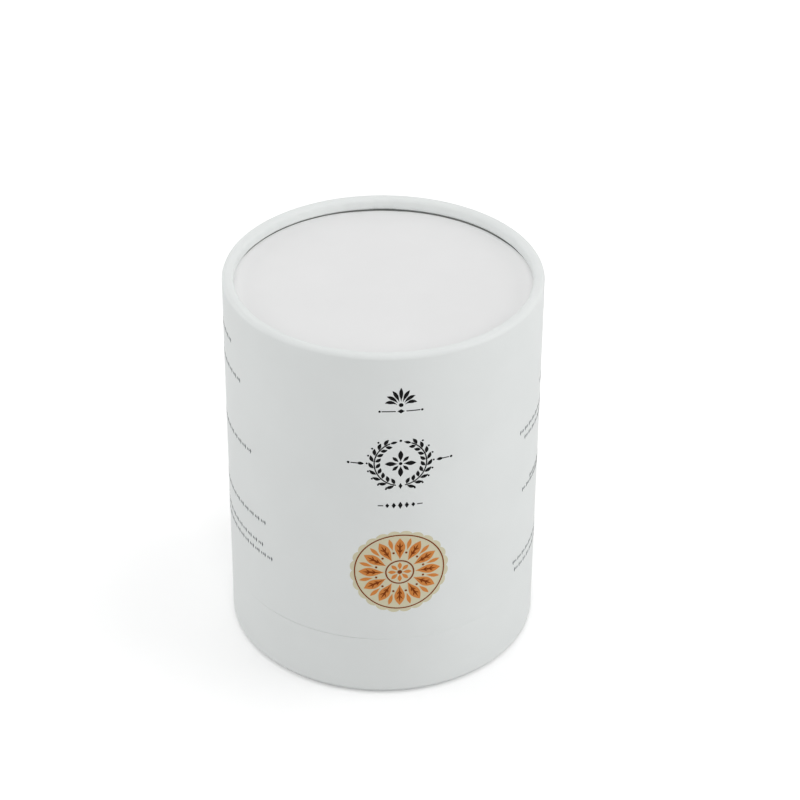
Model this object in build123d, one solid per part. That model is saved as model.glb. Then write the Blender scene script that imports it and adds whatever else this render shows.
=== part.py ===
from build123d import *
from math import cos, pi, sin
import os

# A paper gift tube: a tall lid slides down over a neck that is glued into a short base.
# The wall of the lid and of the base is rolled over at its closed end and comes back down
# onto a set-in disc. Lengths are in millimetres, +Z is up, and the origin is the middle of
# the foot, at the level that the box stands on.

# Overall sizes
outer_diameter = 100.0
overall_height = 127.5
base_height = 22.0
seam_gap = 0.15

# Board and papers. The printed paper is the outermost ply of the wound walls.
tube_wall = 1.5
neck_wall = 1.4
lining_paper = 0.2
disc_board = 2.0
disc_paper = 0.2

# Rolled ends: the disc's depth below the crown, the slot left inside the fold, how wide
# the forming tool presses each crown flat, the rounding of the curled cut end, and how
# far the paper patch on the disc stays inside the rim
disc_recess = 4.5
fold_gap = 0.3
lid_crown_flat = 0.3
foot_crown_flat = 0.8
curl_share = 0.75
patch_margin = 0.25

# Neck: how far it stands above the seam, and its sliding fit in the lined lid
neck_rise = 40.0
neck_clearance = 0.3

# Rounds this small are drawn as straight steps, which stay within 0.09 mm of them. As
# smooth rings round the box they would take fourteen times the facets.
crown_steps = 3
curl_steps = 2

# Sizes that follow
outer_radius = outer_diameter / 2
tube_bore = outer_radius - tube_wall
lined_bore = tube_bore - lining_paper
lip_width = 2 * tube_wall + fold_gap
lip_bore = outer_radius - lip_width
leg_back = lip_bore + tube_wall
curl_radius = curl_share * tube_wall
lid_height = overall_height - base_height - seam_gap
patch_radius = lip_bore - patch_margin
disc_stack = disc_board + disc_paper
neck_outer = lined_bore - neck_clearance
neck_bore = neck_outer - neck_wall
neck_foot = disc_recess + disc_stack
neck_height = base_height + neck_rise - neck_foot


def turned(points):
    """Revolves a closed outline, given as radius and height, about the box's axis."""
    return revolve(make_face(Plane.XZ * Polyline(*points, close=True)), Axis.Z)


def band(outside_radius, inside_radius, low, high):
    """A plain ring or tube between two heights."""
    return turned(
        [
            (inside_radius, low),
            (outside_radius, low),
            (outside_radius, high),
            (inside_radius, high),
        ]
    )


def eased(before, corner, after, radius, steps):
    """The points of a square corner, rounded to this radius in straight steps."""
    into = (Vector(corner) - Vector(before)).normalized()
    away = (Vector(after) - Vector(corner)).normalized()
    centre = Vector(corner) + (away - into) * radius
    turns = [step / steps * pi / 2 for step in range(steps + 1)]
    return [centre - away * radius * cos(turn) + into * radius * sin(turn) for turn in turns]


def rolled_tube(height, crown_flat):
    """The wall of one half, mouth down and crown up.

    From the mouth it goes up the outside, over the crown, down to the disc, round the
    curled end, and back up behind the turned-down leg into the slot of the fold.
    """
    crown_radius = (lip_width - crown_flat) / 2
    disc_top = height - disc_recess
    fold_top = height - tube_wall
    mouth_edge = (outer_radius, 0)
    outer_crown = (outer_radius, height)
    inner_crown = (lip_bore, height)
    curl = (lip_bore, disc_top)
    cut_end = (leg_back, disc_top)
    return turned(
        [
            (tube_bore, 0),
            mouth_edge,
            *eased(mouth_edge, outer_crown, inner_crown, crown_radius, crown_steps),
            *eased(outer_crown, inner_crown, curl, crown_radius, crown_steps),
            *eased(inner_crown, curl, cut_end, curl_radius, curl_steps),
            cut_end,
            (leg_back, fold_top),
            (tube_bore, fold_top),
        ]
    )


def set_in_disc(height):
    """The disc under a crown at this height, its outer paper patch and its inner paper."""
    board_top = height - disc_recess
    board_foot = board_top - disc_board
    return (
        band(tube_bore, 0, board_foot, board_top),
        band(patch_radius, 0, board_top, board_top + disc_paper),
        band(tube_bore, 0, board_foot - disc_paper, board_foot),
    )


def lining(height):
    """The lining paper of one half, from the mouth up to the disc, which it backs."""
    return band(tube_bore, lined_bore, 0, height - disc_recess - disc_stack)


def lid():
    """The tall half, open downwards, on top of the seam."""
    disc, patch, ceiling_paper = set_in_disc(lid_height)
    pieces = {
        "lid_tube": rolled_tube(lid_height, lid_crown_flat),
        "lid_lining": lining(lid_height),
        "lid_disc": disc,
        "lid_disc_paper": patch,
        "lid_ceiling_paper": ceiling_paper,
    }
    seat = Pos(0, 0, base_height + seam_gap)
    return {name: seat * piece for name, piece in pieces.items()}


def base():
    """The short half: the same rolled tube turned over, so that its crown is the foot."""
    disc, patch, floor_paper = set_in_disc(base_height)
    pieces = {
        "base_tube": rolled_tube(base_height, foot_crown_flat),
        "base_lining": lining(base_height),
        "base_disc": disc,
        "base_disc_paper": patch,
        "base_floor_paper": floor_paper,
    }
    turned_over = Pos(0, 0, base_height) * Rot(180, 0, 0)
    return {name: turned_over * piece for name, piece in pieces.items()}


def neck():
    """The glued-in neck: it stands on the base's floor paper and guides the lid."""
    pieces = {
        "neck_tube": band(neck_outer, neck_bore, 0, neck_height),
        "neck_lining": band(neck_bore, neck_bore - lining_paper, 0, neck_height),
    }
    return {name: Pos(0, 0, neck_foot) * piece for name, piece in pieces.items()}


os.makedirs("parts", exist_ok=True)
for name, piece in {**base(), **neck(), **lid()}.items():
    export_step(piece, f"parts/{name}.step")
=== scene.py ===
# %% [markdown]
# # A round paper gift box
# The object is a tube box of wound board. A tall lid slides down over a neck that is glued
# into a short base, and both outer walls are rolled over at their closed end. The CAD frame
# gives every size, so this first step loads it and measures it. Nothing is fitted by eye
# that the frame already knows.

import math
import random

import bmesh
import bpy
from mathutils import Matrix, Vector


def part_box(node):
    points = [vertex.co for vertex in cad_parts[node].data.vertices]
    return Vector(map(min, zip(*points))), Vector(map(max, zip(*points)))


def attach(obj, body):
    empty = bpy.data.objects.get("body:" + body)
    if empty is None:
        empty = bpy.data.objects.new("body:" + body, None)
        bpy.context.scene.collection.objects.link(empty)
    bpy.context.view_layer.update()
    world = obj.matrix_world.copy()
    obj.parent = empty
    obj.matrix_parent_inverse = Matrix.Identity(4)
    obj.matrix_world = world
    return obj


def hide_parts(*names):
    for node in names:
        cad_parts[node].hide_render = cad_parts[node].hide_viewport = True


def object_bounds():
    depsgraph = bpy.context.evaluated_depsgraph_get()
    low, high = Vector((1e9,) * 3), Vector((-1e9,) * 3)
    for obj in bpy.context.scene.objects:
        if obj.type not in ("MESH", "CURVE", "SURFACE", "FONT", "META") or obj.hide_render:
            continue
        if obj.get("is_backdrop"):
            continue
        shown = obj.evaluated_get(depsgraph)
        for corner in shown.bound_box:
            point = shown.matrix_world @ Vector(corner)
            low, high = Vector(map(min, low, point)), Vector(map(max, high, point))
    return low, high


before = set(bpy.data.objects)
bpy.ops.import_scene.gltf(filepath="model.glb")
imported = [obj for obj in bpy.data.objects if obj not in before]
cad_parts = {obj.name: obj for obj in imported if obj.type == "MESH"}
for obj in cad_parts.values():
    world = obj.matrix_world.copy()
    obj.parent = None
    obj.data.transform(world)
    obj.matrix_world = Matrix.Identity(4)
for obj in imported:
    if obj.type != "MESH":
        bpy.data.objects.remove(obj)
cad_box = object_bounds()

mm = 0.001
lid_low, lid_high = [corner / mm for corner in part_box("lid_tube")]
base_low, base_high = [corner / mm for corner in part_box("base_tube")]
neck_low, neck_high = [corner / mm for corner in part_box("neck_tube")]
panel_low, panel_high = [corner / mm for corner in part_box("lid_disc_paper")]
foot_low, foot_high = [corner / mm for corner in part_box("base_disc_paper")]

outer_radius = lid_high.x
neck_radius = neck_high.x
panel_radius = panel_high.x
height = lid_high.z
print(f"box {2 * outer_radius:.1f} mm across and {height:.1f} mm tall")
print(f"seam at {base_high.z:.1f} mm, neck up to {neck_high.z:.1f} mm")

# %% [markdown]
# ## Colours and shader nodes
# Colours are picked as sRGB hex values, the way a print shop names them, but Blender adds up
# light in linear values. One function does the change. A second one adds a shader node with
# its settings and links, so that each material below reads as a short list of what it is
# made of.

# %% Colour and node helpers
# The Mix node's colour sockets go by number, as their names are shared with other sockets.
MIX_A, MIX_B, MIX_RESULT = 6, 7, 2


def linear(hex_colour):
    """An sRGB hex colour as the linear RGBA that Blender's sockets take."""
    shares = [int(hex_colour[place : place + 2], 16) / 255 for place in (1, 3, 5)]
    return [s / 12.92 if s <= 0.04045 else ((s + 0.055) / 1.055) ** 2.4 for s in shares] + [1]


def add_node(tree, kind, settings=None, inputs=None):
    """Adds a node. An input is given a value, or is linked if it is another node's output."""
    node = tree.nodes.new("ShaderNode" + kind)
    for name, value in (settings or {}).items():
        setattr(node, name, value)
    for name, value in (inputs or {}).items():
        if isinstance(value, bpy.types.NodeSocket):
            tree.links.new(value, node.inputs[name])
        else:
            node.inputs[name].default_value = value
    return node


def empty_material(name):
    """A named material whose node tree holds nothing yet."""
    material = bpy.data.materials.new(name)
    material.use_nodes = True
    material.node_tree.nodes.clear()
    return material, material.node_tree


for tone in ("#FFFFFF", "#808080"):
    print(f"{tone} is {linear(tone)[0]:.2f} in linear light")

# %% [markdown]
# ## Matt-laminated art paper
# The box is wrapped in coated white paper with a thin matt plastic film over the print. It
# could be a plain white diffuse shader, but then it would look like plaster. Three things
# make it paper: a faint unevenness of the white, a very fine grain that the film takes from
# the fibres, and slow shallow waves where the film and the board dry unevenly. The grain is
# finer than a pixel, so it is drawn a few times coarser than it is.

# %% Paper with a grain
# Cellulose, the film's polypropylene and an ink's binder all bend light about this much.
paper_ior = 1.5

cloud_width = 22
cloud_low, cloud_high = 0.35, 0.65


def grained_paper(name, colour, shade, roughness, fibre, relief, wave, swell):
    """Paper whose colour drifts to a shade, with fibres and slow waves in its relief.

    fibre and wave are widths in mm, relief and swell their heights in mm.
    """
    material, tree = empty_material(name)
    place = add_node(tree, "TexCoord").outputs["Object"]
    cloud = add_node(
        tree, "TexNoise", inputs={"Vector": place, "Scale": 1 / (cloud_width * mm), "Detail": 3}
    )
    drift = add_node(
        tree,
        "MapRange",
        inputs={"Value": cloud.outputs["Fac"], "From Min": cloud_low, "From Max": cloud_high},
    )
    tint = add_node(
        tree,
        "Mix",
        {"data_type": "RGBA"},
        {"Factor": drift.outputs["Result"], MIX_A: linear(colour), MIX_B: linear(shade)},
    )
    waves = add_node(tree, "TexNoise", inputs={"Vector": place, "Scale": 1 / (wave * mm)})
    fibres = add_node(
        tree, "TexNoise", inputs={"Vector": place, "Scale": 1 / (fibre * mm), "Detail": 4}
    )
    slow = add_node(
        tree, "Bump", inputs={"Height": waves.outputs["Fac"], "Distance": swell * mm}
    )
    fine = add_node(
        tree,
        "Bump",
        inputs={
            "Height": fibres.outputs["Fac"],
            "Distance": relief * mm,
            "Normal": slow.outputs["Normal"],
        },
    )
    surface = add_node(
        tree,
        "BsdfPrincipled",
        inputs={
            "Base Color": tint.outputs[MIX_RESULT],
            "Roughness": roughness,
            "IOR": paper_ior,
            "Normal": fine.outputs["Normal"],
        },
    )
    add_node(tree, "OutputMaterial", inputs={"Surface": surface.outputs["BSDF"]})
    return material


# Coated art paper under matt film: bright, slightly cool, and almost even.
art_paper = grained_paper(
    "matt laminated art paper",
    "#EAEDEC",
    "#E8EBEA",
    roughness=0.55,
    fibre=1.1,
    relief=0.006,
    wave=16,
    swell=0.02,
)

# The patches on the discs get the same kind of paper in a neutral white, where the walls' paper
# is slightly cool.
patch_paper = grained_paper(
    "matt laminated patch paper",
    "#ECECEC",
    "#EAEAEA",
    roughness=0.55,
    fibre=1.1,
    relief=0.006,
    wave=22,
    swell=0.02,
)
print(art_paper.name, "has", len(art_paper.node_tree.nodes), "nodes")

# %% [markdown]
# ## Lining paper
# Inside, the box is lined with uncoated white paper. It is a little warmer and duller than
# the film outside, and its fibres are open, so the same recipe gets a rougher surface and a
# stronger grain.

# %% Lining paper
lining_paper = grained_paper(
    "uncoated lining paper",
    "#E9E8E2",
    "#E3E2DB",
    roughness=0.9,
    fibre=0.8,
    relief=0.02,
    wave=12,
    swell=0.015,
)
print(lining_paper.name, "has", len(lining_paper.node_tree.nodes), "nodes")

# %% [markdown]
# ## Wound board and grey board
# Where the wall is cut, the board shows. A tube is wound from several plies of paper, which
# read as fine rings on a cut end. They could be modelled one by one, but they are thinner
# than a pixel, so a wave texture that runs outwards from the axis draws them. The discs are
# punched from pressed grey board, which is flecked and not layered.

# %% Wound board for cut edges
wall = 1.5
ply = 0.37
fleck_width = 0.9
fray = 0.05

wound_board, tree = empty_material("wound board with its plies")
place = add_node(tree, "TexCoord").outputs["Object"]
level = add_node(tree, "VectorMath", {"operation": "MULTIPLY"}, {0: place, 1: (1, 1, 0)})
from_axis = add_node(tree, "VectorMath", {"operation": "LENGTH"}, {0: level.outputs[0]})
plies = add_node(
    tree,
    "Math",
    {"operation": "PINGPONG"},
    {0: from_axis.outputs["Value"], 1: ply * mm / 2},
)
ply_edge = add_node(
    tree,
    "MapRange",
    inputs={"Value": plies.outputs[0], "From Min": 0, "From Max": ply * mm / 4},
)
fleck = add_node(
    tree, "TexNoise", inputs={"Vector": place, "Scale": 1 / (fleck_width * mm), "Detail": 3}
)
board_tint = add_node(
    tree,
    "Mix",
    {"data_type": "RGBA"},
    {"Factor": fleck.outputs["Fac"], MIX_A: linear("#B7AD9C"), MIX_B: linear("#A79C8A")},
)
ply_tint = add_node(
    tree,
    "Mix",
    {"data_type": "RGBA"},
    {
        "Factor": ply_edge.outputs["Result"],
        MIX_A: linear("#8C8272"),
        MIX_B: board_tint.outputs[MIX_RESULT],
    },
)
frayed = add_node(
    tree, "Bump", inputs={"Height": fleck.outputs["Fac"], "Distance": fray * mm}
)
surface = add_node(
    tree,
    "BsdfPrincipled",
    inputs={
        "Base Color": ply_tint.outputs[MIX_RESULT],
        "Roughness": 0.92,
        "IOR": paper_ior,
        "Normal": frayed.outputs["Normal"],
    },
)
add_node(tree, "OutputMaterial", inputs={"Surface": surface.outputs["BSDF"]})
print("a wall of", wall, "mm shows", round(wall / ply), "plies")

# %% Grey board for the discs
grey_board = grained_paper(
    "pressed grey board",
    "#9B9C9A",
    "#878987",
    roughness=0.93,
    fibre=0.7,
    relief=0.06,
    wave=6,
    swell=0.03,
)
print(grey_board.name, "has", len(grey_board.node_tree.nodes), "nodes")

# %% [markdown]
# ## Printing inks
# Offset ink is a film a few thousandths of a millimetre thick under the matt lamination, so
# it keeps the paper's fine grain and only changes the colour. Solid areas are never quite
# even: a slight mottle from the paper shows through. A matt film takes nearly all the gloss
# off a print, which keeps its black deep, so the inks reflect less than bare plastic would.
# Five inks are used: black, grey, cream, terracotta and a red brown.

# %% Offset inks
mottle_width = 1.6
ink_relief = 0.006
ink_roughness = 0.6
ink_gloss = 0.08


def offset_ink(name, colour, thin):
    """Ink of one colour that turns a little thinner where the paper takes less of it."""
    material, tree = empty_material(name)
    place = add_node(tree, "TexCoord").outputs["Object"]
    mottle = add_node(
        tree, "TexNoise", inputs={"Vector": place, "Scale": 1 / (mottle_width * mm), "Detail": 4}
    )
    tint = add_node(
        tree,
        "Mix",
        {"data_type": "RGBA"},
        {"Factor": mottle.outputs["Fac"], MIX_A: linear(colour), MIX_B: linear(thin)},
    )
    grain = add_node(
        tree, "Bump", inputs={"Height": mottle.outputs["Fac"], "Distance": ink_relief * mm}
    )
    surface = add_node(
        tree,
        "BsdfPrincipled",
        inputs={
            "Base Color": tint.outputs[MIX_RESULT],
            "Roughness": ink_roughness,
            "IOR": paper_ior,
            "Specular IOR Level": ink_gloss,
            "Normal": grain.outputs["Normal"],
        },
    )
    add_node(tree, "OutputMaterial", inputs={"Surface": surface.outputs["BSDF"]})
    return material


black_ink = offset_ink("black offset ink", "#080809", "#0F0F10")
grey_ink = offset_ink("grey offset ink", "#54585C", "#64686C")
cream_ink = offset_ink("cream offset ink", "#DDD7BC", "#D6CFB0")
terracotta_ink = offset_ink("terracotta offset ink", "#D2813E", "#DC9150")
brown_ink = offset_ink("red brown offset ink", "#7A3608", "#8A4412")
inks = [black_ink, grey_ink, cream_ink, terracotta_ink, brown_ink]
print("inks:", ", ".join(ink.name for ink in inks))

# %% [markdown]
# ## Turning an outline on the lathe
# Every wall and disc of the box is round, so each is one outline turned about the axis. The
# Screw modifier would do that, but here each turned point can also be moved a little, by a
# rule that knows the angle: outwards for the lap of the paper, and along its own normal for
# the small pleats of the rolled rim.

# %% Lathe and arc helpers
turn_steps = 288
sharp_from = math.radians(40)


def drawn_in(share, slant):
    """A sine or cosine, made smaller between its ends where the slant is above 1."""
    return math.copysign(abs(share) ** slant, share)


def arc(centre_radius, centre_height, wide, start, end, steps=8, tall=None, slant=1):
    """Points on an arc in the outline's plane, from one angle to the other, in degrees.

    wide is its radius, and tall its radius upwards where that is another one. A slant
    above 1 flattens the arc between its ends, towards a bevel.
    """
    angles = [math.radians(start + (end - start) * step / steps) for step in range(steps + 1)]
    return [
        (
            centre_radius + wide * drawn_in(math.cos(a), slant),
            centre_height + (tall or wide) * drawn_in(math.sin(a), slant),
        )
        for a in angles
    ]


def level_normals(outline):
    """The unit normals of an outline in its own plane, from each point's neighbours."""
    normals = []
    for here, point in enumerate(outline):
        before, after = outline[here - 1], outline[(here + 1) % len(outline)]
        along = Vector((after[0] - before[0], after[1] - before[1])).normalized()
        normals.append(Vector((along.y, -along.x)))
    return normals


def lathe(name, outline, finishes, angles, raised=None):
    """Turns an outline of (radius, height, finish) points, in mm, into a closed mesh object.

    The outline runs anticlockwise, and a point's finish is that of the edge that follows
    it. raised(angle, radius, height, finish) says how far a point moves along its normal
    and how far straight outwards, in mm.
    """
    work = bmesh.new()
    rings = []
    for (radius, level, finish), normal in zip(outline, level_normals(outline)):
        if radius == 0:
            rings.append([work.verts.new((0, 0, level * mm))] * len(angles))
            continue
        ring = []
        for angle in angles:
            lift, spread = raised(angle, radius, level, finish) if raised else (0, 0)
            out, up = radius + lift * normal.x + spread, level + lift * normal.y
            place = Vector((out * math.sin(angle), -out * math.cos(angle), up)) * mm
            ring.append(work.verts.new(place))
        rings.append(ring)
    for here, point in enumerate(outline):
        low, high = rings[here], rings[(here + 1) % len(rings)]
        if low[0] is low[-1] and high[0] is high[-1]:
            continue
        for step in range(len(angles)):
            after = (step + 1) % len(angles)
            corners = dict.fromkeys([low[step], low[after], high[after], high[step]])
            face = work.faces.new(list(corners))
            face.material_index = point[2]
            face.smooth = True
    return finished(name, work, finishes)


def finished(name, work, finishes):
    """Turns a bmesh into an object with these materials and puts it in the scene."""
    bmesh.ops.recalc_face_normals(work, faces=work.faces)
    mesh = bpy.data.meshes.new(name)
    work.to_mesh(mesh)
    work.free()
    mesh.set_sharp_from_angle(angle=sharp_from)
    piece = bpy.data.objects.new(name, mesh)
    bpy.context.scene.collection.objects.link(piece)
    for finish in finishes:
        mesh.materials.append(finish)
    return piece


even_turn = [2 * math.pi * step / turn_steps for step in range(turn_steps)]
print("one step of the lathe is", round(outer_radius * even_turn[1], 2), "mm round the wall")

# %% [markdown]
# ## The rolled walls
# Lid and base are cut from one wound tube whose outermost ply is the printed paper. At the
# closed end the tube is rolled in and pressed back down on the disc, which leaves the round
# white rim. The paper has to shrink round that bend, so it puckers a little on the inner
# side. At the back, the paper's own two edges lap over each other, a step as thick as the
# paper that runs up the wall. The forming tool irons it flat where it rolls the rim.

# %% The paper's lap and its pleats
paper = 0.12
lap_width = 7.0
lap_ramp = 1.6
lap_cut = 0.12
lap_fade = 3.0
lap_middle = math.pi

pleat_height = 0.45
pleat_waves = [(9, 0.6), (23, 1.0), (37, 0.9), (58, 0.6)]
pleat_draw = random.Random(7)
pleats = [(count, share, pleat_draw.uniform(0, 2 * math.pi)) for count, share in pleat_waves]

lap_edges = [
    -lap_width / 2 - lap_ramp,
    -lap_width / 2 - lap_ramp / 2,
    -lap_width / 2,
    lap_width / 2,
    lap_width / 2 + lap_cut,
]
lap_turn = sorted(even_turn + [lap_middle + edge / outer_radius for edge in lap_edges])


def softly(share):
    """A share kept between 0 and 1 that sets off and arrives gently."""
    share = min(max(share, 0), 1)
    return share * share * (3 - 2 * share)


def lapped(angle):
    """How far the lap lifts the paper here: a slope up on one side, a cut edge on the other."""
    along = (angle - lap_middle) * outer_radius
    if along < -lap_width / 2:
        return paper * softly(1 + (along + lap_width / 2) / lap_ramp)
    return paper * softly(1 - (along - lap_width / 2) / lap_cut)


def pleated(angle):
    """The pucker of the paper round the rim, between 0 and 1."""
    total = sum(share * math.sin(count * angle + start) for count, share, start in pleats)
    return 0.5 + 0.5 * total / sum(share for _, share, _ in pleats)


print("the lap steps up by", lapped(math.pi), "mm, and the pleats by", pleat_height, "mm")

# %% [markdown]
# The outline follows the board as it is made: up the outside, over the crown, down the turned
# leg, round its curled end on the disc, back up the slot behind it, and down the inside. A
# true arc takes the place of the CAD solid's few straight steps at each bend. The side gets
# a ring of points close to its mouth and close to its bend. Without them the smooth shading
# would spread each bend over the next few millimetres of the side.

# %% The outline of a rolled wall
fold_slot = 0.3
recess = 4.5
curl = 0.75 * wall
mouth_round = 0.03
ring_spacing = 4
ring_guard = 0.3
mouth_steps, bend_steps, leg_steps, curl_steps = 3, 14, 10, 8
lip = 2 * wall + fold_slot
bore = outer_radius - wall
lip_bore = outer_radius - lip
leg_back = lip_bore + wall

PAPER, BOARD, LINING = range(3)


def rolled_outline(mouth, crown, crown_flat, bend_tall=None, slant=1):
    """The outline of a rolled wall from its mouth's level to its crown's, up or down.

    bend_tall is how high the outer bend reaches, where it is taller than it is wide, and
    slant flattens it towards a bevel.
    """
    tall = abs(crown - mouth)
    bend = (lip - crown_flat) / 2
    bend_tall = bend_tall or bend
    first, last = mouth_round + ring_guard, tall - bend_tall - ring_guard
    steps = int((last - first) / ring_spacing)
    side = [(outer_radius, first + (last - first) * step / steps) for step in range(steps + 1)]
    sections = [
        (BOARD, [(bore, 0)]),
        (PAPER, [(outer_radius - 2 * paper, 0)]),
        (PAPER, arc(outer_radius - mouth_round, mouth_round, mouth_round, -90, 0, mouth_steps)),
        (PAPER, side),
        (
            PAPER,
            arc(outer_radius - bend, tall - bend_tall, bend, 0, 90, bend_steps, bend_tall, slant),
        ),
        (PAPER, arc(lip_bore + bend, tall - bend, bend, 90, 180, leg_steps)),
        (PAPER, arc(lip_bore + curl, tall - recess + curl, curl, 180, 270, curl_steps)),
        (BOARD, [(leg_back, tall - recess)]),
        (BOARD, [(leg_back, tall - wall), (bore, tall - wall)]),
    ]
    facing = 1 if crown > mouth else -1
    points = [(r, mouth + facing * h, finish) for finish, part in sections for r, h in part]
    return points if facing > 0 else points[::-1]


print("the rolled lip is", round(lip, 1), "mm wide and its slot", fold_slot, "mm")

# %% Lid and base walls
lid_crown_flat = 0.3
foot_flat = 0.8
foot_bend_tall = 1.6
foot_slant = 1.9
pleat_start = 0.7
pleat_full = 1.0
pleat_low = 2.4


def wall_relief(crown):
    """The rule that raises a wall's paper: the lap on its side and pleats inside the rim.

    The pleats set off inwards of the crown and fade again down the turned leg, so that
    they never stand higher than the crown or lower than the foot.
    """

    def raised(angle, radius, level, finish):
        if finish != PAPER:
            return 0, 0
        depth = abs(crown - level)
        inward = (outer_radius - radius) / lip
        on_bend = softly((inward - pleat_start) / (pleat_full - pleat_start))
        on_leg = on_bend * (1 - softly(depth / pleat_low - 1))
        on_side = softly((depth - lip / 2) / lap_fade)
        return pleat_height * on_leg * pleated(angle), on_side * lapped(angle)

    return raised


rolled_finishes = [art_paper, wound_board, lining_paper]

lid_wall = lathe(
    "lid_wall",
    rolled_outline(lid_low.z, lid_high.z, lid_crown_flat),
    rolled_finishes,
    lap_turn,
    wall_relief(lid_high.z),
)
base_wall = lathe(
    "base_wall",
    rolled_outline(base_high.z, base_low.z, foot_flat, foot_bend_tall, foot_slant),
    rolled_finishes,
    lap_turn,
    wall_relief(base_low.z),
)
for piece, body, node in [(lid_wall, "lid", "lid_tube"), (base_wall, "base", "base_tube")]:
    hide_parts(node)
    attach(piece, body)
    print(piece.name, len(piece.data.polygons), "faces, rides on", body)

# %% [markdown]
# A lid like this comes to rest on the base with next to no gap. Its mouth isn't cut dead
# straight, so it stands a tenth of a millimetre open at the front left, half as much at the
# back, and is nearly shut in between. The frame keeps a little more room there, so that lid
# and base never touch in the motion checks. Here the points of the lid's mouth come down
# over most of that room, each by what its place round the wall asks.

# %% The seam
seam_shut = 0.015
seam_places = [(-26, 14, 22, 0.12), (185, 45, 35, 0.06)]


def seam_gap(degrees):
    """The gap between lid and base, from (middle, even, closing, open) places round it."""
    gap = seam_shut
    for middle, even, closing, opened in seam_places:
        away = abs((degrees - middle + 180) % 360 - 180)
        gap += (opened - seam_shut) * (1 - softly((away - even) / closing))
    return gap


for vertex in lid_wall.data.vertices:
    x, y, z = vertex.co / mm
    if z < lid_low.z + 2 * mouth_round:
        gap = seam_gap(math.degrees(math.atan2(x, -y)))
        vertex.co.z -= (lid_low.z - base_high.z - gap) * mm
widest = max(opened for _, _, _, opened in seam_places)
print(f"the seam is {widest:.3f} mm open at most and {seam_shut:.3f} mm at least")

# %% [markdown]
# ## The neck
# The neck is a plain length of the same wound board, papered inside and out and cut square.
# Its cut top shows the plies between two white papers, which tells anyone who lifts the lid
# how the box is made. The outline gives each of those layers its own stretch of the edge.

# %% The neck's wall
neck_board = 1.4
neck_bore = neck_radius - neck_board
edge_round = 0.15
edge_steps = 4
neck_edge = arc(
    neck_radius - edge_round, neck_high.z - edge_round, edge_round, 0, 90, edge_steps
)
neck_outline = [
    (neck_bore, neck_low.z, BOARD),
    (neck_radius, neck_low.z, PAPER),
    *[(r, z, PAPER) for r, z in neck_edge],
    (neck_radius - 2 * paper, neck_high.z, BOARD),
    (neck_bore, neck_high.z, LINING),
]
neck_wall = lathe("neck_wall", neck_outline, rolled_finishes, even_turn)
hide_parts("neck_tube")
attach(neck_wall, "base")
print("the neck stands", round(neck_high.z - base_high.z, 1), "mm above the seam")

# %% [markdown]
# ## The set-in panels
# A patch of art paper covers each disc inside the rim. It is stuck down by hand, so it is
# flat but not dead flat: it rises and falls by a few hundredths of a millimetre. It isn't
# quite in the middle either. At the front its edge runs in under the rim's curled end and
# rides up against it, and no gap shows. At the back it falls short, and there the slot under
# the curl reads as a dark line of uneven width that closes on both sides.

# %% Paper panels on the discs
panel_rise = 0.02
wave_across, shift_across = 5.1, 1.3
wave_along, shift_along = 4.3, -0.4
panel_rings = 11
panel_skirt = 1.3
panel_round = 0.6
cut_waves = [(11, 0.25, -1.2), (31, 0.14, 1), (67, 0.1, 0)]
tuck = 0.53
ride_up = 0.33
short_by = 0.25
short_side = math.radians(175)
short_spread = math.radians(62)
tucked_places = [
    (0, 1),
    (98, 1),
    (108, 0.8),
    (116, 0.42),
    (127, 0.05),
    (190, 0),
    (204, 0.34),
    (224, 0.34),
    (247, 0.52),
    (254, 1),
    (360, 1),
]


def hand_cut(angle):
    """The unevenness of the patch's edge, as a share of how far it falls short."""
    return sum(share * math.sin(count * angle + start) for count, share, start in cut_waves)


def tucked_in(angle):
    """The share of the tuck that the edge has here, from the (degrees, share) places."""
    degrees = math.degrees(angle) % 360
    for (start, share), (end, next_share) in zip(tucked_places, tucked_places[1:]):
        if degrees <= end:
            return share + (next_share - share) * softly((degrees - start) / (end - start))


def edge_moves(angle):
    """How far the patch's edge moves here, outwards and up, in mm."""
    away = abs((angle - short_side + math.pi) % (2 * math.pi) - math.pi)
    short = short_by * (1 - softly(away / short_spread)) * (1 + hand_cut(angle))
    share = tucked_in(angle)
    return tuck * share - short, ride_up * share


def panel_outline(low, high):
    """A thin disc between two levels, with a rounded upper edge and rings to bend it by."""
    soft = (high - low) * panel_round
    skirt = panel_radius - panel_skirt
    spread = [skirt * ring / panel_rings for ring in range(1, panel_rings + 1)]
    upper = [(r, high, PAPER) for r in reversed(spread)]
    rounded = arc(panel_radius - soft, high - soft, soft, 0, 90, edge_steps)
    edge = [(r, z, PAPER) for r, z in rounded]
    return [(0, low, PAPER), (panel_radius, low, PAPER), *edge, *upper, (0, high, PAPER)]


def gently_uneven(angle, radius, level, finish):
    """A slow rise and fall over the panel, none at its underside or its edge."""
    if level < panel_high.z or radius > panel_radius - panel_skirt:
        return 0, 0
    share = radius / panel_radius
    across, along = share * math.sin(angle), share * math.cos(angle)
    rise = panel_rise * math.sin(wave_across * across + shift_across)
    return rise * math.cos(wave_along * along + shift_along), 0


def fit_edge(piece, outwards):
    """Moves a patch's edge: out under the curl and up against it, or short of it at the back.

    outwards is 1 where the patch's face looks up, and -1 where it looks down.
    """
    for vertex in piece.data.vertices:
        x, y, z = vertex.co / mm
        radius = math.hypot(x, y)
        if radius > panel_radius - panel_skirt / 2:
            reach, rise = edge_moves(math.atan2(x, -y))
            vertex.co.x *= 1 + reach / radius
            vertex.co.y *= 1 + reach / radius
            vertex.co.z += outwards * rise * mm


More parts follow.
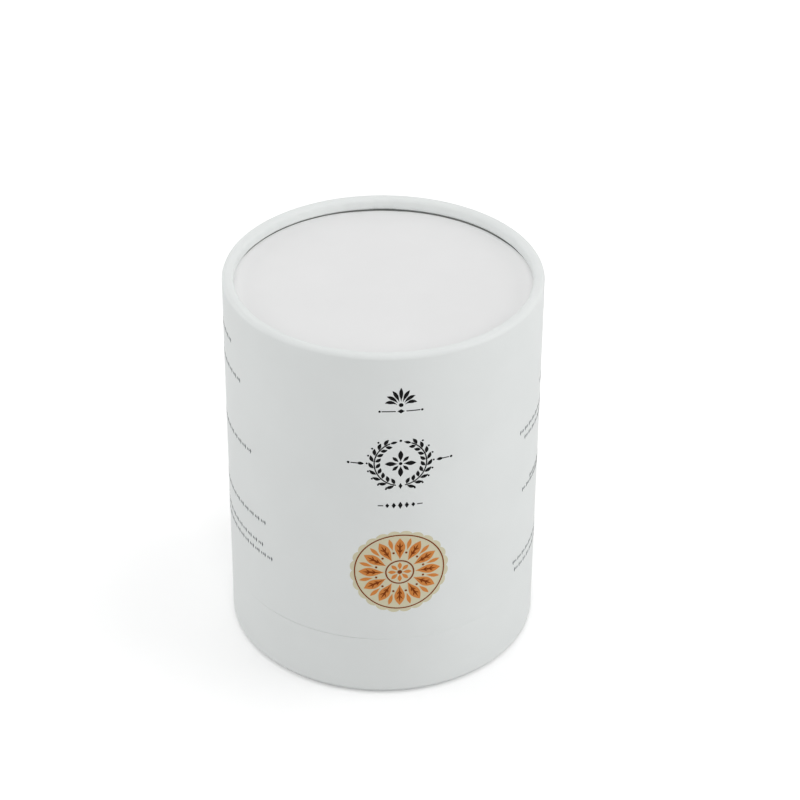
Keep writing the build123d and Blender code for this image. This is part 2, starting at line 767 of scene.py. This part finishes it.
lid_panel = lathe(
    "lid_panel",
    panel_outline(panel_low.z, panel_high.z),
    [patch_paper],
    even_turn,
    gently_uneven,
)
foot_outline = [
    (r, foot_low.z + foot_high.z - z, finish)
    for r, z, finish in reversed(panel_outline(foot_low.z, foot_high.z))
]
foot_panel = lathe("foot_panel", foot_outline, [patch_paper], even_turn)
for piece, body, node, outwards in [
    (lid_panel, "lid", "lid_disc_paper", 1),
    (foot_panel, "base", "base_disc_paper", -1),
]:
    fit_edge(piece, outwards)
    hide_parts(node)
    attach(piece, body)
    print(piece.name, "is", round(2 * panel_radius, 1), "mm across, rides on", body)

# %% [markdown]
# ## The CAD pieces that stay
# The discs and the linings already have their true shape in the frame, so they stay as they
# are and only get their material.

# %% Materials for the other CAD pieces
finish_of_node = {
    "lid_disc": grey_board,
    "base_disc": grey_board,
    "lid_lining": lining_paper,
    "base_lining": lining_paper,
    "neck_lining": lining_paper,
    "lid_ceiling_paper": lining_paper,
    "base_floor_paper": lining_paper,
    "lid_tube": wound_board,
    "base_tube": wound_board,
    "neck_tube": wound_board,
    "lid_disc_paper": patch_paper,
    "base_disc_paper": patch_paper,
}
for node, finish in finish_of_node.items():
    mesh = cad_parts[node].data
    mesh.materials.clear()
    mesh.materials.append(finish)
print("left to dress:", sorted(set(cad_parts) - set(finish_of_node)))

# %% [markdown]
# ## How the print is made
# A print could be an image or a pattern in the paper's shader. Here each printed shape is a
# very thin closed tile of its own mesh that follows the wall, so its edges stay crisp at any
# distance. A tile starts as rows of points on the unrolled sheet: u millimetres round from
# the middle of the front, and z millimetres up. The rows are close enough for the tile to
# bend with the wall.

# %% Ink tiles on the wall
print_middle = math.radians(6.2)
ink_step = 0.03
ink_clearance = 0.15
thin_tip = 0.02
longest_flat = 1.4


def on_wall(u, z, lift):
    """A point of the flat sheet, put round the wall and lifted off it, in metres."""
    angle = print_middle + u / outer_radius
    radius = outer_radius + lift
    return Vector((radius * math.sin(angle), -radius * math.cos(angle), z)) * mm


def add_tile(work, rows, layer=0, closed=False):
    """Adds one closed tile of ink, from rows of (u, z) points. Layers lie on each other."""
    foot, face = ink_step * (layer + ink_clearance), ink_step * (layer + 1)
    front = [[work.verts.new(on_wall(u, z, face)) for u, z in row] for row in rows]
    back = [[work.verts.new(on_wall(u, z, foot)) for u, z in row] for row in rows]
    spans = range(len(rows) if closed else len(rows) - 1)
    last = len(rows[0]) - 1
    for here in spans:
        there = (here + 1) % len(rows)
        for side in range(last):
            for sheet in (front, back):
                low, high = sheet[here], sheet[there]
                work.faces.new([low[side], high[side], high[side + 1], low[side + 1]])
        for side in (0, last):
            ahead = [front[there][side], back[there][side]]
            work.faces.new([front[here][side], *ahead, back[here][side]])
    if closed:
        return
    for end in (0, -1):
        for side in range(last):
            beside = [front[end][side + 1], back[end][side + 1]]
            work.faces.new([front[end][side], *beside, back[end][side]])


def printed(name, ink, tiles):
    """One print of one ink on the lid, from (rows, layer, closed) tiles."""
    work = bmesh.new()
    for rows, layer, closed in tiles:
        add_tile(work, rows, layer, closed)
    piece = finished(name, work, [ink])
    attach(piece, "lid")
    print(name, "has", len(tiles), "tiles")
    return piece


print("an ink tile is", round(ink_step * (1 - ink_clearance), 3), "mm thick")

# %% [markdown]
# ## Strokes, leaves, dots and rings
# A few strokes of a pen make every ornament. A stroke has a path and a half width at each of
# its points. A leaf swells and tapers, a dot follows a circle, a lozenge rises and falls in
# straight lines, and a rule keeps its width. A ring closes on itself. Most ornaments are the
# same on both sides, so only their right half is drawn and then mirrored.

# %% Pen strokes
def ray(centre, degrees, reach):
    """The point in this direction and at this distance from a centre."""
    turn = math.radians(degrees)
    return (centre[0] + reach * math.cos(turn), centre[1] + reach * math.sin(turn))


def stroke(path, halves):
    """Rows of three points across a path of (u, z) points, half a width to each side."""
    rows = []
    for here, (u, z) in enumerate(path):
        before = Vector(path[max(here - 1, 0)])
        after = Vector(path[min(here + 1, len(path) - 1)])
        along = (after - before).normalized()
        aside = Vector((-along.y, along.x)) * max(halves[here], thin_tip / 2)
        rows.append([(u + aside.x * k, z + aside.y * k) for k in (-1, 0, 1)])
    return rows


def leaf(root, tip, width, bow=0, belly=0.8, steps=8):
    """A leaf from root to tip. bow bends its middle to the left, as a share of its length.

    A belly below 1 puts its widest part nearer the tip, and one above 1 nearer the root.
    """
    root, tip = Vector(root), Vector(tip)
    reach = tip - root
    aside = Vector((-reach.y, reach.x)) * bow
    shares = [step / steps for step in range(steps + 1)]
    path = [root + reach * s + aside * 4 * s * (1 - s) for s in shares]
    halves = [width / 2 * math.sin(math.pi * s ** (1 / belly)) for s in shares]
    return stroke([tuple(point) for point in path], halves)


def dot(centre, radius, steps=12):
    """A round dot."""
    turns = [math.pi * step / steps for step in range(steps + 1)]
    path = [(centre[0] - radius * math.cos(turn), centre[1]) for turn in turns]
    return stroke(path, [radius * math.sin(turn) for turn in turns])


def lozenge(centre, wide, tall):
    """A lozenge of this width and height."""
    shares = [-1, -0.5, 0, 0.5, 1]
    path = [(centre[0] + wide / 2 * s, centre[1]) for s in shares]
    return stroke(path, [tall / 2 * (1 - abs(s)) for s in shares])


def rule(start, end, z, thick):
    """A straight level line of even thickness."""
    steps = max(1, math.ceil(abs(end - start) / longest_flat))
    path = [(start + (end - start) * step / steps, z) for step in range(steps + 1)]
    return stroke(path, [thick / 2] * (steps + 1))


def ring(centre, inner, outer, steps=72, across=1):
    """A closed ring. inner and outer are radii, or rules that give one for each turn."""
    rows = []
    for step in range(steps):
        turn = 360 * step / steps
        low = inner(turn) if callable(inner) else inner
        high = outer(turn) if callable(outer) else outer
        reach = [low + (high - low) * part / across for part in range(across + 1)]
        rows.append([ray(centre, turn, r) for r in reach])
    return rows


def mirrored(shapes):
    """These shapes and their mirror images about the middle of the front."""
    return shapes + [[[(-u, z) for u, z in row] for row in rows] for rows in shapes]


def open_tiles(shapes, layer=0):
    """Strokes as tiles of one layer."""
    return [(rows, layer, False) for rows in shapes]


print("a leaf is made of", len(leaf((0, 0), (4, 0), 1)), "rows")

# %% [markdown]
# ## The crest
# At the top of the front sits a palmette: leaves that fan out of one point, an ornament as
# old as painted pottery. A fine rule with a lozenge in its middle closes it below.

# %% Crest
crest_foot = (0, 110.4)
crest_heart = 0.7
crest_fan = 27
crest_root, crest_tip, crest_width = 1.2, 6.1, 1.2
crest_shorter = 0.4
crest_bow, crest_belly = 0.05, 0.75
crest_rule = 108.2
rule_start, rule_end, rule_dot = 1.6, 5.8, 6.4
rule_lozenge = (2.2, 1.5)
rule_dot_radius = 0.38
hairline = 0.34

crest_shapes = [dot(crest_foot, crest_heart), lozenge((0, crest_rule), *rule_lozenge)]
for place in range(-3, 4):
    lean = 90 - crest_fan * place
    root = ray(crest_foot, lean, crest_root)
    tip = ray(crest_foot, lean, crest_tip - crest_shorter * abs(place))
    crest_shapes.append(leaf(root, tip, crest_width, bow=crest_bow * place, belly=crest_belly))
closing_rule = rule(rule_start, rule_end, crest_rule, hairline)
crest_shapes += mirrored([closing_rule, dot((rule_dot, crest_rule), rule_dot_radius)])
printed("crest", black_ink, open_tiles(crest_shapes))

# %% [markdown]
# ## The wreath
# Under the crest two laurel branches bend into a wreath round a small eight-petalled flower.
# Each branch is a stem along an arc, with leaves in pairs that point ahead along it and a
# berry outside each pair. A pointed flourish on either side carries the ornament outwards.

# %% Wreath
wreath_middle = (0, 89.3)
wreath_radius = 8.0
branch_start, branch_end = -80, 66
stem_steps = 30
stem_half = 0.2
leaf_pairs = 9
first_pair = 0.25
leaf_ahead = 14
leaf_root, leaf_width = 0.25, 1.16
leaf_spread, spread_loss = 1.95, 0.06
leaf_bow, leaf_belly = 0.08, 1.05
berry_ahead, berry_out, berry_radius = 11.5, 2.25, 0.32
tip_start, tip_end, tip_width = 0.5, 17, 0.95

branch_turn = branch_end - branch_start
pair_turn = branch_turn / leaf_pairs
stem = [branch_start + branch_turn * step / stem_steps for step in range(stem_steps + 1)]
stem_path = [ray(wreath_middle, turn, wreath_radius) for turn in stem]
branch = [stroke(stem_path, [stem_half] * len(stem))]
for pair in range(leaf_pairs):
    turn = branch_start + pair_turn * (pair + first_pair)
    spread = leaf_spread - spread_loss * pair
    for way in (-1, 1):
        root = ray(wreath_middle, turn, wreath_radius + way * leaf_root)
        tip = ray(wreath_middle, turn + leaf_ahead, wreath_radius + way * spread)
        branch.append(leaf(root, tip, leaf_width, bow=-leaf_bow * way, belly=leaf_belly))
    if pair < leaf_pairs - 1:
        berry = ray(wreath_middle, turn + berry_ahead, wreath_radius + berry_out)
        branch.append(dot(berry, berry_radius))
root = ray(wreath_middle, branch_end + tip_start, wreath_radius)
tip = ray(wreath_middle, branch_end + tip_end, wreath_radius)
branch.append(leaf(root, tip, tip_width, belly=leaf_belly))
print("a branch has", len(branch), "strokes")

# %% Flourishes and the flower in the wreath
arrow_start, arrow_end, arrow_width = 11.1, 13.3, 1.1
shaft_start, shaft_end = 12.4, 15.2
bead_place, bead_radius = 15.9, 0.42
low_lozenge, lozenge_size = (0, 81.1), (1.2, 2.2)
top_bead = (0, 97.6)
flower_petals = 8
flower_heart, flower_root, flower_belly = 0.55, 0.95, 0.85
long_petal, short_petal = (4.8, 1.55), (3.5, 1.1)

level = wreath_middle[1]
flourish = [
    leaf((arrow_start, level), (arrow_end, level), arrow_width, belly=1),
    rule(shaft_start, shaft_end, level, hairline),
    dot((bead_place, level), bead_radius),
]
wreath_shapes = mirrored(branch + flourish)
wreath_shapes.append(lozenge(low_lozenge, *lozenge_size))
wreath_shapes += [dot(top_bead, bead_radius), dot(wreath_middle, flower_heart)]
for petal in range(flower_petals):
    turn = 360 * petal / flower_petals
    reach, wide = short_petal if petal % 2 else long_petal
    root, tip = ray(wreath_middle, turn, flower_root), ray(wreath_middle, turn, reach)
    wreath_shapes.append(leaf(root, tip, wide, belly=flower_belly))
printed("wreath", black_ink, open_tiles(wreath_shapes))

# %% [markdown]
# A short row of lozenges, the largest in the middle, closes the black print.

# %% Small lozenges
row_level = 73.9
row_rule = (5.2, 6.9)
row_spacing = 2.0
row_wide, row_tall = 1.45, 2.7
row_smaller = 0.25

row_shapes = mirrored([rule(*row_rule, row_level, hairline)])
for place in range(-2, 3):
    smaller = row_smaller * abs(place)
    middle = (row_spacing * place, row_level)
    row_shapes.append(lozenge(middle, row_wide - smaller / 2, row_tall - 2 * smaller))
printed("small_lozenges", black_ink, open_tiles(row_shapes))

# %% [markdown]
# ## The medallion
# The colour print is a folk rosette. A cream ground with a scalloped edge carries twelve
# terracotta petals with brown veins, thin leaves between them, two brown rings, and a small
# flower in the middle. The inks lie in layers, as they come off the press: cream first, then
# terracotta, then brown.

# %% Medallion
rosette = (0, 48.5)
ground_radius = 15.7
ground_hole = 0.2
ground_rings = 12
scallop_depth = 0.8
scallop_round = 0.7
scallop_steps = 10
scallops = 24


def scalloped(degrees):
    """The ground's edge: shallow rounded scallops."""
    swell = abs(math.sin(scallops * math.radians(degrees) / 2)) ** scallop_round
    return ground_radius - scallop_depth * (1 - swell)


ground = ring(
    rosette, ground_hole, scalloped, steps=scallops * scallop_steps, across=ground_rings
)
printed("medallion_ground", cream_ink, [(ground, 0, True)])

# %% Petals, veins and rings of the medallion
petals = 12
inner_petals = 8

# Each leaf's root and tip, as distances from the middle, and its width.
large_petal = (4.9, 12.9, 3.3)
thin_leaf = (8.6, 13.1, 1.3)
main_vein = (5.6, 11.6, 0.62)
inner_petal = (0.9, 3.7, 1.3)
side_vein_roots = (7.4, 9.2)
side_vein_turns = (0.7, 5.2)
side_vein_reach, side_vein_width = 1.4, 0.36
heart_radius = 0.75
berry_place, small_berry = 7.6, 0.38
outer_ring, inner_ring = (13.9, 14.3), (4.1, 4.55)


def radial_leaf(turn, size, steps=8):
    """A leaf of this (root, tip, width) that points away from the rosette's middle."""
    root, tip, width = size
    return leaf(ray(rosette, turn, root), ray(rosette, turn, tip), width, steps=steps)


petal_shapes = []
vein_shapes = [dot(rosette, heart_radius)]
for petal in range(petals):
    turn = 360 * petal / petals
    between = turn + 180 / petals
    petal_shapes += [radial_leaf(turn, large_petal, steps=12), radial_leaf(between, thin_leaf)]
    vein_shapes.append(radial_leaf(turn, main_vein, steps=10))
    vein_shapes.append(dot(ray(rosette, between, berry_place), small_berry))
    for side in (-1, 1):
        root_turn, tip_turn = [turn + side * away for away in side_vein_turns]
        for reach in side_vein_roots:
            root = ray(rosette, root_turn, reach)
            tip = ray(rosette, tip_turn, reach + side_vein_reach)
            vein_shapes.append(leaf(root, tip, side_vein_width, steps=4))
for petal in range(inner_petals):
    petal_shapes.append(radial_leaf(360 * petal / inner_petals, inner_petal))

vein_rings = [
    (ring(rosette, *outer_ring, steps=120), 2, True),
    (ring(rosette, *inner_ring, steps=60), 2, True),
]
printed("medallion_petals", terracotta_ink, open_tiles(petal_shapes, 1))
printed("medallion_veins", brown_ink, open_tiles(vein_shapes, 2) + vein_rings)

# %% [markdown]
# ## Beaded borders round the sides
# Short borders run back round both sides: one tall lozenge and two small ones, over and
# over. They are hardly two millimetres tall, so from the camera they read as a fine broken
# texture.

# %% Side borders
bead_gap = 0.32
group_gap = 0.55
tall_bead = (0.66, 1.9)
small_bead = (0.5, 1.3)
small_beads = 2

# Each border's level, and where it starts and stops, in mm round from the front's middle.
left_borders = [
    (113, 65.5, 91),
    (102.2, 58.9, 87),
    (79.2, 53.2, 94),
    (55.5, 46.6, 90),
    (46.3, 48.2, 84),
    (42.8, 43.8, 92),
]
right_borders = [
    (93.2, 64, 93),
    (84.5, 45.6, 90),
    (81.3, 48.8, 86),
    (63, 54.8, 88),
    (61.3, 48.6, 85),
    (35.3, 44, 95),
    (32, 45.1, 91),
]

bead_shapes = []
for side, borders in ((-1, left_borders), (1, right_borders)):
    for level, start, stop in borders:
        along = start
        while along < stop:
            for wide, tall in [tall_bead] + [small_bead] * small_beads:
                bead_shapes.append(lozenge((side * (along + wide / 2), level), wide, tall))
                along += wide + bead_gap
            along += group_gap
printed("side_borders", grey_ink, open_tiles(bead_shapes))

# %% [markdown]
# ## Floor and light
# The floor is a pale sweep that reads as white, with only a trace of the box's shadow. The
# camera sees it partly as its own glow and partly by the light that falls on it, so the
# shadow stays and the white doesn't depend on more lamps. The glow sets off at the rolled
# foot, which paints a fine dark line under it, over the real contact shadow. It is a little
# weaker at the left front, a painted shadow that deepens the real one there, and it rises
# far away. The box itself stands in even, soft light from a bright room, with broad panels
# at its sides, above, in front and behind.

# %% Floor
def seen_directly(tree):
    """A socket that is 1 for what the camera sees, itself or in a mirror or through glass."""
    rays = add_node(tree, "LightPath").outputs
    seen = 0
    for kind in ("Is Camera Ray", "Is Glossy Ray", "Is Transmission Ray"):
        added = add_node(
            tree, "Math", {"operation": "ADD", "use_clamp": True}, {0: seen, 1: rays[kind]}
        )
        seen = added.outputs[0]
    return seen


floor_size = 4
floor_drop = 0.02
plain_floor, seen_floor = 0.7, 0.98
near_glow = 0.2
far_glow = 1
far_radii = 20
# A weaker glow round a spot at the left front paints a shadow there, which deepens the box's real
# one.
painted_shadow_glow = 0.155
painted_shadow_middle = (-45, -8)
painted_shadow_deep = 30
painted_shadow_end = 75
# The glow sets off between these distances inside and outside the foot's edge, which paints a
# dark line under the foot.
foot_line_inside = 1.0
foot_line_outside = 0.4

bpy.ops.mesh.primitive_plane_add(size=floor_size, location=(0, 0, -floor_drop * mm))
floor = bpy.context.object
floor.name = "floor"
floor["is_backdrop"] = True

floor_paint, tree = empty_material("white studio sweep")
matt = add_node(tree, "BsdfDiffuse", inputs={"Color": [plain_floor] * 3 + [1]})
lit = add_node(tree, "BsdfDiffuse", inputs={"Color": [seen_floor] * 3 + [1]})
spot = add_node(tree, "TexCoord").outputs["Object"]
from_box = add_node(tree, "VectorMath", {"operation": "LENGTH"}, {0: spot})
from_painted_shadow = add_node(
    tree,
    "VectorMath",
    {"operation": "DISTANCE"},
    {0: spot, 1: [value * mm for value in (*painted_shadow_middle, 0)]},
)
# This map is the painted shadow: the glow is weakest round that spot and full from its edge on.
shade = add_node(
    tree,
    "MapRange",
    {"interpolation_type": "SMOOTHSTEP"},
    {
        "Value": from_painted_shadow.outputs["Value"],
        "From Min": painted_shadow_deep * mm,
        "From Max": painted_shadow_end * mm,
        "To Min": painted_shadow_glow,
        "To Max": near_glow,
    },
)
rising = add_node(
    tree,
    "MapRange",
    {"interpolation_type": "SMOOTHSTEP"},
    {
        "Value": from_box.outputs["Value"],
        "From Min": outer_radius * mm,
        "From Max": far_radii * outer_radius * mm,
        "To Min": shade.outputs["Result"],
        "To Max": far_glow,
    },
)
# Painted dark line: no glow under the foot and just outside it, on top of the real contact
# shadow.
painted_foot_line = add_node(
    tree,
    "MapRange",
    inputs={
        "Value": from_box.outputs["Value"],
        "From Min": (outer_radius - foot_line_inside) * mm,
        "From Max": (outer_radius + foot_line_outside) * mm,
    },
)
strength = add_node(
    tree,
    "Math",
    {"operation": "MULTIPLY"},
    {0: rising.outputs["Result"], 1: painted_foot_line.outputs["Result"]},
)
glow = add_node(
    tree, "Emission", inputs={"Color": (1, 1, 1, 1), "Strength": strength.outputs[0]}
)
sweep = add_node(tree, "AddShader", inputs={0: lit.outputs[0], 1: glow.outputs[0]})
pick = add_node(
    tree, "MixShader", inputs={0: seen_directly(tree), 1: matt.outputs[0], 2: sweep.outputs[0]}
)
add_node(tree, "OutputMaterial", inputs={"Surface": pick.outputs[0]})
floor.data.materials.append(floor_paint)
print("the floor lies", round(-floor.location.z / mm, 2), "mm below the foot")

# %% World and lamps
room_light = 0.365

world = bpy.data.worlds.new("bright room")
bpy.context.scene.world = world
world.use_nodes = True
tree = world.node_tree
tree.nodes.clear()
room = add_node(tree, "Background", inputs={"Color": (1, 1, 1, 1), "Strength": room_light})
white = add_node(tree, "Background", inputs={"Color": (1, 1, 1, 1), "Strength": 1})
pick = add_node(
    tree, "MixShader", inputs={0: seen_directly(tree), 1: room.outputs[0], 2: white.outputs[0]}
)
add_node(tree, "OutputWorld", inputs={"Surface": pick.outputs[0]})

aim = Vector((0, 0, height / 2)) * mm

# Each panel's x, y and z and its width, in metres, and its power in watts.
panels = {
    "left_panel": (-1.1, 0.2, 0.4, 0.9, 3.62),
    "right_panel": (1.1, -0.1, 0.45, 0.9, 4.5),
    "top_panel": (0.0, 0.15, 1.3, 1.1, 3.85),
    "front_panel": (0.0, -1.3, 0.9, 0.8, 5.9),
    "back_panel": (0.0, 1.2, 0.8, 0.9, 2.0),
}
for name, (x, y, z, size, power) in panels.items():
    light = bpy.data.lights.new(name, "AREA")
    light.shape = "SQUARE"
    light.size = size
    light.energy = power
    lamp = bpy.data.objects.new(name, light)
    lamp.location = (x, y, z)
    lamp.rotation_euler = (aim - lamp.location).to_track_quat("-Z", "Y").to_euler()
    bpy.context.scene.collection.objects.link(lamp)
    print(f"{name}: {power} W, {size} m across, {(aim - lamp.location).length:.2f} m away")

# %% [markdown]
# ## Camera
# The camera stands where the photographer stood, a little over 0.8 m away, looking down at
# 34 degrees with a long lens. It doesn't point quite at the middle of the box, so a small
# turn to the side, up and about its own axis follow, in that order.

# %% Camera
camera_distance = 802.6
camera_elevation = math.radians(34.14)
camera_pan = math.radians(-0.394)
camera_tilt = math.radians(0.952)
camera_roll = math.radians(0.189)
sensor = 36
image_width_px = 800
focal_length_px = 2480.2

camera = bpy.data.objects.new("camera", bpy.data.cameras.new("camera"))
camera.data.sensor_width = sensor
camera.data.lens = sensor * focal_length_px / image_width_px
away = Vector((0, -math.cos(camera_elevation), math.sin(camera_elevation)))
turned = (
    (-away).to_track_quat("-Z", "Y").to_matrix()
    @ Matrix.Rotation(camera_pan, 3, "Y")
    @ Matrix.Rotation(camera_tilt, 3, "X")
    @ Matrix.Rotation(camera_roll, 3, "Z")
)
camera.location = aim + away * camera_distance * mm
camera.rotation_euler = turned.to_euler()
bpy.context.scene.collection.objects.link(camera)
bpy.context.scene.camera = camera
print(f"lens {camera.data.lens:.1f} mm, {camera_distance:.0f} mm from the middle of the box")

# %% Colour management, sizes and the end
bpy.context.scene.view_settings.view_transform = "Standard"

scene_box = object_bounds()
for label, box in [("CAD", cad_box), ("scene", scene_box)]:
    print(label, "box", [[round(value / mm, 2) for value in corner] for corner in box], "mm")
